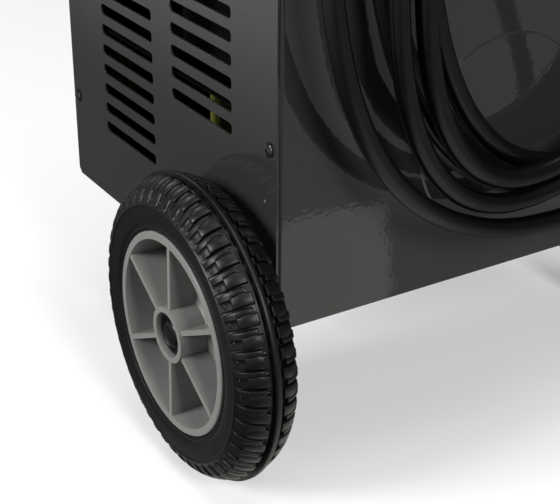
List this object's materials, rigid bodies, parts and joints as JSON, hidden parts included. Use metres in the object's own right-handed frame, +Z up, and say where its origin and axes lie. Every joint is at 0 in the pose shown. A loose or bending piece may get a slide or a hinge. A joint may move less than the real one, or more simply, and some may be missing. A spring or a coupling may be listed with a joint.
{
  "type": "car dryer blower",
  "caption": "Wheeled sheet steel blower for drying cars, with louvred sides, pleated filters, twin fans, a front hose spigot, a push handle and a looped supply cable.",
  "frame": {"origin": "on the floor, under the middle of the cabinet", "axes": "+X across the machine along the wheels' axle, to the right as seen from in front, where the hose outlet is; +Y to the back, where the cable hangs; +Z up"},
  "size_m": [0.45, 0.4528, 0.9235],
  "materials": {
    "grey_paint": "satin dark grey powder coat",
    "black_paint": "satin black powder coat",
    "black_steel": "black plated",
    "zinc": "zinc plated",
    "bare_steel": "galvanised",
    "bearing_steel": "ground",
    "alloy": "as spun",
    "brass": "plated",
    "tyre": "matt",
    "rubber": "matt",
    "cable_rubber": "satin",
    "grey_nylon": "moulded, fine grain",
    "black_plastic": "moulded",
    "white_plastic": "moulded",
    "red_plastic": "polished",
    "amber_lens": "polished lens",
    "filter_paper": "pleated yellow-green filter paper"
  },
  "bodies": {
    "chassis": {"base_pan": "black_paint", "rear_panel": "grey_paint", "front_panel": "grey_paint", "right_side_panel": "grey_paint", "left_side_panel": "grey_paint", "top_cover": "grey_paint", "panel_screws": "black_steel", "corner_rivets": "zinc", "axle": "zinc", "axle_brackets": "black_paint", "axle_spacers": "zinc", "axle_caps": "black_plastic", "right_leg": "black_paint", "left_leg": "black_paint", "rubber_feet": "rubber", "frame_bolts": "zinc", "push_handle": "black_paint", "handle_grip": "rubber", "handle_bolts": "zinc", "handle_spacers": "black_plastic", "tube_plugs": "black_plastic", "cable_saddle": "black_paint", "cable_gland": "black_plastic", "gland_locknut": "black_plastic", "strain_relief": "rubber", "inner_lead": "cable_rubber", "terminal_block": "white_plastic", "cable_lead": "cable_rubber", "cable_loops": "cable_rubber", "cable_tail": "cable_rubber", "plug_body": "rubber", "plug_pins": "brass", "motor_deck": "bare_steel", "right_fan_case": "alloy", "left_fan_case": "alloy", "right_motor_shell": "black_paint", "left_motor_shell": "black_paint", "motor_bearings": "bearing_steel", "filter_cartridges": "filter_paper", "filter_caps": "rubber", "filter_studs": "zinc", "outlet_manifold": "black_plastic", "hose_spigot": "black_plastic", "control_plate": "black_plastic", "switch_bodies": "black_plastic", "pilot_lamp": "amber_lens"},
    "right_wheel": {"right_rim": "grey_nylon", "right_tyre": "tyre", "right_bush": "black_plastic"},
    "left_wheel": {"left_rim": "grey_nylon", "left_tyre": "tyre", "left_bush": "black_plastic"},
    "right_fan": {"right_rotor": "bearing_steel", "right_fan_wheel": "alloy"},
    "left_fan": {"left_rotor": "bearing_steel", "left_fan_wheel": "alloy"},
    "right_switch": {"right_rocker": "red_plastic"},
    "left_switch": {"left_rocker": "red_plastic"},
    "breaker": {"reset_button": "red_plastic"}
  },
  "joints": [
    {"name": "right_wheel_spin", "type": "hinge", "parent": "chassis", "child": "right_wheel", "pos_m": [0.2028, 0.096, 0.106], "axis": [1, 0, 0], "continuous": true},
    {"name": "left_wheel_spin", "type": "hinge", "parent": "chassis", "child": "left_wheel", "pos_m": [-0.2028, 0.096, 0.106], "axis": [1, 0, 0], "continuous": true},
    {"name": "right_fan_spin", "type": "hinge", "parent": "chassis", "child": "right_fan", "pos_m": [0.075, 0, 0.3], "axis": [0, 0, 1], "continuous": true},
    {"name": "left_fan_spin", "type": "hinge", "parent": "chassis", "child": "left_fan", "pos_m": [-0.075, 0, 0.3], "axis": [0, 0, 1], "continuous": true},
    {"name": "right_switch_rock", "type": "hinge", "parent": "chassis", "child": "right_switch", "pos_m": [0.024, -0.1505, 0.545], "axis": [1, 0, 0], "range_deg": [-20, 0]},
    {"name": "left_switch_rock", "type": "hinge", "parent": "chassis", "child": "left_switch", "pos_m": [-0.024, -0.1505, 0.545], "axis": [1, 0, 0], "range_deg": [-20, 0]},
    {"name": "breaker_push", "type": "slide", "parent": "chassis", "child": "breaker", "axis": [0, 1, 0], "range_m": [0, 0.003], "stiffness_N_per_m": 300, "springref_m": -0.001}
  ]
}
